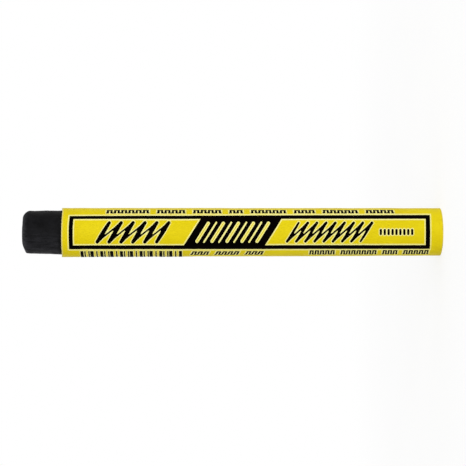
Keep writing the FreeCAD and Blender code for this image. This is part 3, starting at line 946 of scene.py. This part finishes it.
@dataclass
class Sheet:
    """A stretch of the label as a grid of places, where an ink field says what is printed."""

    sleeve: PaperSleeve
    z_range: Pair
    angle_range: Pair
    cell: float = 0.1
    corner_gap: float = 0.04
    depth: float = 0.02
    crease: float = 50.0
    z: Array = field(init=False)
    angle: Array = field(init=False)

    def __post_init__(self) -> None:
        """Lay out the grid with cells of about the wanted size."""
        rows = int((self.z_range[1] - self.z_range[0]) / self.cell) + 1
        arc = (self.angle_range[1] - self.angle_range[0]) * self.sleeve.outer
        self.z = np.linspace(*self.z_range, rows)[:, None]
        self.angle = np.linspace(*self.angle_range, int(arc / self.cell) + 1)[None, :]

    def square_on(self) -> Places:
        """The grid's places with X as it is seen square on."""
        return Places(self.z, self.sleeve.outer * np.sin(self.angle))

    def unrolled(self) -> Places:
        """The grid's places with X measured along the paper."""
        return Places(self.z, self.sleeve.outer * self.angle)

    def crossing(self, first: Array, second: Array) -> Array:
        """Share of the way from one place to the next at which the ink field is zero."""
        change = np.where(first == second, 1.0, first - second)
        return np.clip(first / change, self.corner_gap, 1.0 - self.corner_gap)

    def inked_cells(self, ink: Array) -> tuple[Array, Array, Array, Array, Array]:
        """Cut the grid's cells along the line where the ink field is zero.

        Each cell gives the polygon of its inked part: its inked corners, and on each side where
        the field changes sign the place where it is zero, by straight interpolation.

        Args:
            ink: Ink field at each place of the grid.

        Returns:
            Angle and height of each point in use, the polygons' corners one after another, the
            number of corners of each, and the outline's edges as rows of two points.
        """
        ink = ink + 0.0 * self.z * self.angle
        rows, columns = ink.shape
        z, angle = self.z + 0.0 * ink, self.angle + 0.0 * ink
        inside = ink > 0.0
        along, across = self.crossing(ink[:-1], ink[1:]), self.crossing(ink[:, :-1], ink[:, 1:])
        all_z = np.concatenate([z.ravel(), (z[:-1] + along * (z[1:] - z[:-1])).ravel(),
                                z[:, :-1].ravel()])
        all_angle = np.concatenate([
            angle.ravel(), angle[:-1].ravel(),
            (angle[:, :-1] + across * (angle[:, 1:] - angle[:, :-1])).ravel()])
        node = np.arange(rows * columns).reshape(rows, columns)
        along_id = node.size + np.arange((rows - 1) * columns).reshape(rows - 1, columns)
        across_id = (node.size + along_id.size
                     + np.arange(rows * (columns - 1)).reshape(rows, columns - 1))
        corner = [node[:-1, :-1], node[:-1, 1:], node[1:, 1:], node[1:, :-1]]
        side = [across_id[:-1], along_id[:, 1:], across_id[1:], along_id[:, :-1]]
        is_in = [inside[:-1, :-1], inside[:-1, 1:], inside[1:, 1:], inside[1:, :-1]]
        ids, here, leaves = [], [], []
        for turn in range(4):
            following = is_in[(turn + 1) % 4]
            ids += [corner[turn], side[turn]]
            here += [is_in[turn], is_in[turn] != following]
            leaves += [np.zeros_like(following), is_in[turn] & ~following]
        used = np.stack(here, axis=-1).reshape(-1, 8)
        polygons = np.stack(ids, axis=-1).reshape(-1, 8)[used]
        leaving = np.stack(leaves, axis=-1).reshape(-1, 8)[used]
        sides = used.sum(axis=1)
        sides = sides[sides > 0]
        ends = np.cumsum(sides)
        follower = np.arange(1, len(polygons) + 1)
        follower[ends - 1] = ends - sides
        kept, polygons = np.unique(polygons, return_inverse=True)
        outline = np.stack([polygons[leaving], polygons[follower[leaving]]], axis=-1)
        return all_angle[kept], all_z[kept], polygons, sides, outline

    def film(self, name: str, ink: Array, coat: Coat) -> bpy.types.Object:
        """Lay a thin closed film on the paper where the ink field is above zero.

        The inked cells make its face and, turned over, its underside a little way into the
        paper. Walls join the two outlines.

        Args:
            name: Name of the piece.
            ink: Distance into the printed area in millimetres at each place of the grid.
            coat: How the film is laid.

        Returns:
            The film.
        """
        angle, z, face, sides, outline = self.inked_cells(ink)
        count = len(z)
        paper = self.sleeve.skin(angle, z)
        points = np.concatenate([
            np.stack([radius * np.sin(angle), -radius * np.cos(angle), z], axis=-1)
            for radius in (paper + coat.height, paper - self.depth)])
        first, second = outline.T
        wall = np.stack([second, first, first + count, second + count], axis=-1)
        corners = np.concatenate([face, face[::-1] + count, wall.ravel()])
        all_sides = np.concatenate([sides, sides[::-1], np.full(len(wall), 4)])
        return new_piece(name, points, corners, all_sides, coat.material, self.crease)


@dataclass(frozen=True)
class Wave:
    """A running wave of the label: how many slanted strokes, their width and the thin ones'."""

    strokes: int
    width: float
    thin: float


@dataclass(frozen=True)
class BarRhythm:
    """Bars at an even pitch: their number, width and pitch."""

    count: int
    width: float
    pitch: float


@dataclass(frozen=True)
class FinePrint:
    """One row of fine print: its angle on the sleeve, its ends in millimetres and its strokes."""

    angle: float
    ends: Pair
    counts: tuple[int, ...]
    reach: float
    half_stroke: float
    half_bar: float = 0.17
    lean: float = 0.0
    gap: float = 1.0


@dataclass
class Label:
    """The print: frame, slotted panel, two waves, bars, fine print and a pale line beside all.

    Each ink field is the distance in millimetres from a place on the label into the printed
    area, negative outside. Fields are joined by their maximum and cut by their minimum.
    """

    sleeve: PaperSleeve
    # The slant of all the artwork, and how it settled on the paper.
    lean: float = 0.64
    lift: Pair = (0.022, 0.0004)
    tall: Pair = (1.029, 0.00048)
    # The frame and the panel with its slots.
    frame_line: float = 0.8
    frame_end_lines: Pair = (0.94, 0.87)
    end_bow: float = 0.15
    thin_upper: float = 0.17
    panel_aside: float = 0.09
    panel_tuck: Pair = (0.06, 0.15)
    panel_drop: float = 0.002
    slots: int = 5
    slot_margin: float = 1.8
    slot_clearance: float = 0.5
    slot_wide: float = 0.85
    slot_narrow: float = 0.45
    slot_rim: float = 0.25
    # The waves and ticks.
    bold: Wave = Wave(strokes=6, width=1.0, thin=0.34)
    fine: Wave = Wave(strokes=9, width=0.62, thin=0.36)
    stroke_tip: float = 0.8
    stroke_swell: float = 0.3
    stroke_fillet: float = 0.34
    ticks: int = 9
    tick_pitch: float = 0.84
    tick_width: float = 0.5
    tick_reach: float = 0.64
    tick_tip: float = 0.9
    fine_gap: float = 2.5
    # The bars and the fine print.
    bars: tuple[BarRhythm, ...] = (BarRhythm(26, 0.28, 0.84), BarRhythm(11, 0.65, 2.1))
    cad_film: float = 0.05
    fine_print: Mapping[str, tuple[FinePrint, ...]] = field(default_factory=lambda: {
        "upper": (FinePrint(radians(58.0), (10.3, 72.0), (4, 5, 3, 5, 2, 4, 4, 6), 0.51, 0.24),),
        "lower": (FinePrint(radians(-57.5), (2.8, 28.6), (5, 3, 7, 5), 0.68, 0.17),
                  FinePrint(radians(-58.5), (38.4, 53.9), (3, 4, 3), 0.58, 0.19, lean=0.3))})
    # The pale line's width beside each of them.
    frame_keyline: Pair = (0.28, 0.27)
    wave_keyline: float = 0.18
    bar_keyline: float = 0.15
    fine_keyline: float = 0.15
    # The films' heights above the paper and the sheets that they are cut from.
    black_height: float = 0.04
    pale_height: float = 0.02
    front_margin: float = 0.5
    bar_margin: float = 0.3
    bar_angles: Pair = (radians(-114.0), radians(-46.0))
    row_margin: float = 1.0
    row_half_angle: float = radians(13.0)
    keyline_cell: float = 0.12
    row_cell: float = 0.065

    @staticmethod
    def box_mm(node: str) -> tuple[Vector, Vector]:
        """Lowest and highest corner of a CAD node in millimetres."""
        low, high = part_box(node)
        return low / MM, high / MM

    @staticmethod
    def block(z: Array, x: Array, z_span: tuple, x_span: tuple) -> Array:
        """Field of an upright rectangle: the distance to its nearest side."""
        return np.minimum(np.minimum(z - z_span[0], z_span[1] - z),
                          np.minimum(x - x_span[0], x_span[1] - x))

    @staticmethod
    def stroke(at: Places, start: Pair, end: Pair, half_width: float,
               swell: float = 0.0) -> Array:
        """Field of a brush stroke: its half width less the distance to its centre line.

        The half width swells by a share of itself towards the middle, as the sine of half a turn.

        Args:
            at: Places on the label.
            start: Z and X of the line's start.
            end: Z and X of its end.
            half_width: Half the stroke's width at its tips.
            swell: Share by which it is wider in the middle.

        Returns:
            The ink field.
        """
        run_z, run_x = end[0] - start[0], end[1] - start[1]
        length = run_z ** 2 + run_x ** 2
        share = np.clip(((at.z - start[0]) * run_z + (at.x - start[1]) * run_x) / length, 0.0, 1.0)
        away = np.hypot(at.z - start[0] - share * run_z, at.x - start[1] - share * run_x)
        return half_width * (1.0 + swell * np.sin(pi * share)) - away

    def settled(self, at: Places) -> Places:
        """Where the print really lies: a hair high, and a little taller towards the tail.

        The place across the label less a small even slope, over a factor that falls along it.

        Args:
            at: Places on the label.

        Returns:
            The places of the straight artwork that come to lie there.
        """
        (lift, lift_slope), (tall, tall_slope) = self.lift, self.tall
        return Places(at.z, (at.x - lift - lift_slope * at.z) / (tall - tall_slope * at.z))

    def frame_field(self, at: Places, outward: float = 0.0, inward: float = 0.0) -> Array:
        """The frame: a block less the block inside it, each side grown by a line beside it.

        Its upper line gets thinner towards the mouth in proportion to the height on the sleeve.
        Its end lines bow towards the tail as the square of the way up or down from the middle,
        which fades towards the mouth on the lower half.

        Args:
            at: Places on the label.
            outward: Width of a line outside the frame.
            inward: Width of a line inside it.

        Returns:
            The ink field.
        """
        low, high = self.box_mm("print_frame")
        share = at.z / self.sleeve.length
        thinner = self.thin_upper / 2 * share
        bow = self.end_bow * (at.x / high.x) ** 2 * np.where(at.x > 0.0, 1.0, 1.0 - share)
        tail_line, mouth_line = self.frame_end_lines
        outside = self.block(at.z + bow, at.x, (low.z, high.z), (low.x, high.x - thinner))
        inside = self.block(at.z + bow, at.x, (low.z + tail_line, high.z - mouth_line),
                            (low.x + self.frame_line, high.x - self.frame_line + thinner))
        return np.minimum(outside + outward, inward - inside)

    def panel_ends(self) -> Triple:
        """Where the panel lies on the label's middle: its box less the lean of its ends.

        Returns:
            Its low end, its high end and its half height.
        """
        low, high = self.box_mm("print_panel")
        foot = self.lean * high.x
        return low.z + foot + self.panel_aside, high.z - foot + self.panel_aside, high.x

    def whole_panel_field(self, at: Places) -> Array:
        """The slanted panel without its slots, a little way under the frame's lines.

        Its ends lean: they are measured along the slant from its foot on the label's middle.

        Args:
            at: Places on the label.

        Returns:
            The ink field.
        """
        low, high, reach = self.panel_ends()
        bottom, top = -reach - self.panel_tuck[0], reach + self.panel_tuck[1]
        foot = at.z + self.lean * at.x
        return np.minimum(np.minimum(foot - low, high - foot) / hypot(1.0, self.lean),
                          np.minimum(at.x - bottom, top - at.x))

    def slots_field(self, at: Places) -> Array:
        """The panel's row of bare slots: strokes at even steps, wide and narrow ones in turn.

        Args:
            at: Places on the label.

        Returns:
            The field of the bare places.
        """
        low, high, reach = self.panel_ends()
        first = low + self.slot_margin + self.slot_wide / 2
        last = high - self.slot_margin - self.slot_wide / 2
        bare = at.blank()
        for index in range(2 * self.slots - 1):
            middle = first + (last - first) * index / (2 * self.slots - 2)
            half = (self.slot_wide if index % 2 == 0 else self.slot_narrow) / 2
            half /= hypot(1.0, self.lean)
            tip = reach - self.slot_clearance - half
            bare = np.maximum(bare, self.stroke(at, (middle + self.lean * tip, -tip),
                                                (middle - self.lean * tip, tip), half))
        return bare

    def panel_field(self, at: Places) -> Array:
        """The slanted panel, less its slots."""
        return np.minimum(self.whole_panel_field(at), -self.slots_field(at))

    def wave_field(self, at: Places, ends: Pair, reach: float, wave: Wave) -> Array:
        """A running wave: slanted brush strokes at even steps, each led to the next by a thin one.

        Args:
            at: Places on the label.
            ends: Where the wave starts and ends on the label's middle.
            reach: Half its height.
            wave: Its strokes.

        Returns:
            The ink field.
        """
        tip_half = wave.width / 2 / hypot(1.0, self.lean) * self.stroke_tip
        step = (ends[1] - ends[0] - wave.width) / (wave.strokes - 1)
        ink = at.blank()
        tip = reach - tip_half
        slant = self.lean * tip
        for index in range(wave.strokes):
            middle = ends[0] + wave.width / 2 + step * index
            top, bottom = (middle - slant, tip), (middle + slant, -tip)
            ink = soft_max(ink, self.stroke(at, bottom, top, tip_half, self.stroke_swell),
                           self.stroke_fillet)
            if index < wave.strokes - 1:
                following = (middle + step + slant, -tip)
                ink = soft_max(ink, self.stroke(at, top, following, wave.thin / 2),
                               self.stroke_fillet)
        return ink

    def bold_field(self, at: Places) -> Array:
        """The bold wave, as long and high as its CAD node.

        Args:
            at: Places on the label.

        Returns:
            The ink field.
        """
        low, high = self.box_mm("print_bold_wave")
        ends = (low.z + self.lean * high.x, high.z - self.lean * high.x)
        return self.wave_field(at, ends, high.x, self.bold)

    def fine_field(self, at: Places) -> Array:
        """The fine wave and, towards the tail, its row of upright ticks.

        Args:
            at: Places on the label.

        Returns:
            The ink field.
        """
        low, high = self.box_mm("print_fine_wave")
        ticks_end = low.z + (self.ticks - 1) * self.tick_pitch + self.tick_width
        ends = (ticks_end + self.fine_gap, high.z - self.lean * high.x)
        ink = self.wave_field(at, ends, high.x, self.fine)
        half = self.tick_width / 2
        tip = self.tick_reach - half * self.tick_tip
        for index in range(self.ticks):
            middle = low.z + half + self.tick_pitch * index
            ink = np.maximum(ink, self.stroke(at, (middle, -tip), (middle, tip), half))
        return ink

    def keyline_field(self, at: Places) -> Array:
        """The pale line beside the frame, panel and waves, and round the rim of each slot.

        Args:
            at: Places on the label.

        Returns:
            The ink field of the line with all that it lies under.
        """
        outward, inward = self.frame_keyline
        around = np.maximum.reduce([
            self.frame_field(at, outward, inward), self.whole_panel_field(at) + inward,
            self.bold_field(at) + self.wave_keyline, self.fine_field(at) + self.wave_keyline])
        return np.minimum(around, self.slot_rim - self.slots_field(at))

    def bars_field(self, at: Places) -> Array:
        """Uneven bars: thin and thick ones at two pitches, cut to the arc of their CAD node.

        Args:
            at: Places on the label, with X along the paper.

        Returns:
            The ink field.
        """
        low, high = self.box_mm("print_bars")
        ink = at.blank()
        for bars in self.bars:
            for index in range(bars.count):
                top = high.z - index * bars.pitch
                ink = np.maximum(ink, np.minimum(at.z - (top - bars.width), top - at.z))
        outer = self.sleeve.outer
        front, back = (-outer * np.arccos(-y / (outer + self.cad_film)) for y in (low.y, high.y))
        return np.minimum(ink, np.minimum(at.x - back, front - at.x))

    def fine_print_field(self, at: Places, row: FinePrint) -> Array:
        """A row of fine print as runs of a tiny battlement line with gaps between them.

        Two uprights stand in each turn, a quarter and three quarters along it, and flat bars join
        them, at the top in the middle of the turn and at the bottom between turns. All is cut to
        the row's height and to the runs, whose lengths are counts of turns that fill the row
        between its ends.

        Args:
            at: Places on the label, with X along the paper.
            row: The row of fine print.

        Returns:
            The ink field.
        """
        counts = np.array(row.counts)
        pitch = (row.ends[1] - row.ends[0]) / (counts.sum() + row.gap * (len(counts) - 1))
        up = at.x - row.angle * self.sleeve.outer
        along = at.z + row.lean * up
        share = ((along - row.ends[0]) / pitch) % 1.0
        upright = row.half_stroke - pitch * np.abs((2.0 * share) % 1.0 - 0.5) / 2.0
        bar_height = np.where(np.abs(share - 0.5) < 0.25, row.reach, -row.reach)
        ink = np.maximum(upright, row.half_bar - np.abs(up - bar_height))
        starts = row.ends[0] + pitch * (np.cumsum(counts) - counts
                                        + row.gap * np.arange(len(counts)))
        runs = at.blank()
        for start, stop in zip(starts, starts + pitch * counts):
            runs = np.maximum(runs, np.minimum(along - start, stop - along))
        return np.minimum.reduce([ink, runs, row.reach + row.half_bar - np.abs(up) + 0.0 * runs])

    def build(self, black_ink: InkFinish, pale_ink: InkFinish) -> list[bpy.types.Object]:
        """Lay every film of print on the sleeve.

        Args:
            black_ink: Finish of the black ink.
            pale_ink: Finish of the pale line beside it.

        Returns:
            The films.
        """
        black = Coat(black_ink.material(), Slot.INK, self.black_height)
        pale = Coat(pale_ink.material(), Slot.PAPER, self.pale_height)
        low, high = self.box_mm("print_frame")
        half_turn = np.arcsin((high.x + self.front_margin) / self.sleeve.outer)
        front = Sheet(self.sleeve, (low.z - self.front_margin, high.z + self.front_margin),
                      (-half_turn, half_turn))
        under = replace(front, cell=self.keyline_cell)
        low, high = self.box_mm("print_bars")
        side = Sheet(self.sleeve, (low.z - self.bar_margin, high.z + self.bar_margin),
                     self.bar_angles)
        on_front, bars = self.settled(front.square_on()), self.bars_field(side.unrolled())
        lower = replace(black, height=self.black_height - self.panel_drop)
        pieces = []
        for name, node, sheet, ink, coat in (
                ("ink_frame", "print_frame", front, self.frame_field(on_front), black),
                ("ink_panel", "print_panel", front, self.panel_field(on_front), lower),
                ("ink_bold_wave", "print_bold_wave", front, self.bold_field(on_front), black),
                ("ink_fine_wave", "print_fine_wave", front, self.fine_field(on_front), black),
                ("ink_bars", "print_bars", side, bars, black)):
            film = sheet.film(name, ink, coat)
            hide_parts(node)
            pieces.append(film)
        keyline = self.keyline_field(self.settled(under.square_on()))
        pieces.append(under.film("pale_keyline", keyline, pale))
        pieces.append(side.film("pale_bar_keyline", bars + self.bar_keyline, pale))
        for edge, rows in self.fine_print.items():
            first, last = rows[0], rows[-1]
            sheet = Sheet(self.sleeve,
                          (first.ends[0] - self.row_margin, last.ends[1] + self.row_margin),
                          (first.angle - self.row_half_angle, first.angle + self.row_half_angle),
                          self.row_cell)
            ink = np.maximum.reduce([self.fine_print_field(sheet.unrolled(), row) for row in rows])
            pieces.append(sheet.film("ink_small_print_" + edge, ink, black))
            pieces.append(sheet.film("pale_small_print_" + edge, ink + self.fine_keyline, pale))
        return pieces


@dataclass(frozen=True)
class Lamp:
    """A square soft light: its name, its place and side in metres and its power in watts."""

    name: str
    place: Triple
    size: float
    watts: float


@dataclass
class Studio:
    """Pale floor, soft light and the camera of the photograph."""

    distance: float = 0.346
    rise: float = 1.7
    turn: float = 0.5
    roll: float = 0.107
    aim: Triple = (-0.000165, 0.0, 0.04481)
    focal_pixels: float = 1603.0
    sensor: float = 36.0
    clip: Pair = (0.01, 50.0)
    lamps: tuple[Lamp, ...] = (Lamp("front_light", (0.16, -0.75, 0.12), 0.9, 3.8),
                               Lamp("top_light", (0.1, -0.1, 0.9), 0.9, 5.8))
    lit: Triple = (0.0, 0.0, 0.045)
    sky: float = 0.33
    floor_size: float = 3.0
    floor_low: Rgb = (250, 250, 250)
    floor_high: Rgb = (255, 255, 255)
    floor_speckle: Grain = Grain(30.0)
    floor_glow: float = 0.72
    shadow_reach: Pair = (0.05, 0.2)

    def camera(self) -> bpy.types.Object:
        """Place the camera in front of the label, rolled so that the nose points left.

        The view runs along +Y, a little down and a little from the label's upper side. Image up
        is +X and image right is -Z.

        Returns:
            The camera.
        """
        rise, turn, roll = radians(self.rise), radians(self.turn), radians(self.roll)
        view = Vector((-sin(turn) * cos(rise), cos(turn) * cos(rise), -sin(rise)))
        up = Vector((cos(turn), sin(turn), 0.0))
        right = view.cross(up)
        rolled_up = up * cos(roll) + right * sin(roll)
        rolled_right = right * cos(roll) - up * sin(roll)
        data = bpy.data.cameras.new("camera")
        data.sensor_width = self.sensor
        data.lens = self.focal_pixels / PHOTO_PIXELS * self.sensor
        data.clip_start, data.clip_end = self.clip
        camera = bpy.data.objects.new("camera", data)
        turned = Matrix((rolled_right, rolled_up, -view)).transposed().to_4x4()
        camera.matrix_world = Matrix.Translation(Vector(self.aim) - view * self.distance) @ turned
        bpy.context.scene.collection.objects.link(camera)
        bpy.context.scene.camera = camera
        return camera

    def light(self, lamp: Lamp) -> None:
        """Add a lamp that faces the middle of the marker.

        Args:
            lamp: The lamp.
        """
        data = bpy.data.lights.new(lamp.name, "AREA")
        data.shape = "SQUARE"
        data.size = lamp.size
        data.energy = lamp.watts
        light = bpy.data.objects.new(lamp.name, data)
        light.location = lamp.place
        light.rotation_mode = "QUATERNION"
        way = Vector(self.lit) - Vector(lamp.place)
        light.rotation_quaternion = way.to_track_quat("-Z", "Y")
        bpy.context.scene.collection.objects.link(light)

    def background(self) -> None:
        """A background that is seen as white and lights the marker softly."""
        world = bpy.data.worlds.new("studio")
        bpy.context.scene.world = world
        world.use_nodes = True
        graph = Graph(world.node_tree)
        strength = self.sky + self.white_seen(graph) * (1.0 - self.sky)
        back = graph.value("ShaderNodeBackground", None,
                           {"Color": (1.0, 1.0, 1.0, 1.0), "Strength": strength})
        graph.node("ShaderNodeOutputWorld", None, {"Surface": back})

    def floor(self) -> bpy.types.Object:
        """A pale floor that is seen as white away from the marker and keeps its shadow beside it.

        Returns:
            The floor.
        """
        half = self.floor_size / 2
        mesh = bpy.data.meshes.new("floor")
        mesh.from_pydata([(-half, -half, 0), (half, -half, 0), (half, half, 0), (-half, half, 0)],
                         [], [(0, 1, 2, 3)])
        material, graph = new_graph("pale_floor")
        speckle = graph.mix(graph.grain(self.floor_speckle), srgb(self.floor_low),
                            srgb(self.floor_high))
        matte = graph.value("ShaderNodeBsdfDiffuse", None, {"Color": speckle})
        white = graph.value("ShaderNodeEmission", None, {"Strength": 1.0})
        reach = graph.value("ShaderNodeVectorMath", {"operation": "LENGTH"},
                            {0: graph.coordinates()}, "Value")
        far = graph.between(reach, *self.shadow_reach)
        share = self.white_seen(graph) * (self.floor_glow + (1.0 - self.floor_glow) * far)
        graph.surface(graph.value("ShaderNodeMixShader", None, {0: share, 1: matte, 2: white}))
        mesh.materials.append(material)
        floor = bpy.data.objects.new("floor", mesh)
        bpy.context.scene.collection.objects.link(floor)
        return floor

    @staticmethod
    def white_seen(graph: Graph) -> Value:
        """1 for rays that show the background: from the camera, in gloss and through glass.

        Args:
            graph: The graph that gets the nodes.

        Returns:
            The mask.
        """
        path = graph.node("ShaderNodeLightPath")
        rays = [Value(graph, path.outputs[name]) for name in
                ("Is Camera Ray", "Is Glossy Ray", "Is Transmission Ray")]
        return graph.maths("MINIMUM", rays[0] + rays[1] + rays[2], 1.0)

    def build(self) -> None:
        """Set up everything around the marker."""
        self.camera()
        for lamp in self.lamps:
            self.light(lamp)
        self.background()
        self.floor()
        bpy.context.scene.view_settings.view_transform = "Standard"


def report(*pieces: bpy.types.Object) -> None:
    """Log the name and the number of faces of each piece."""
    for piece in pieces:
        log.info("%s: %d faces", piece.name, len(piece.data.polygons))


def main() -> None:
    """Build the marker and the studio, and report each piece."""
    logging.basicConfig(level=logging.INFO, format="%(message)s")
    Studio().build()
    sleeve = PaperSleeve.from_frame()
    report(PaintStick.from_frame().build(PaintFinish()))
    report(sleeve.build(PaperFinish()))
    black = InkFinish("black_ink", full=(2, 0, 0), thin=(10, 4, 1))
    pale = InkFinish("pale_ink", full=(247, 240, 150), thin=(244, 233, 116), gloss=0.12)
    report(*Label(sleeve).build(black, pale))


if __name__ == "__main__":
    main()
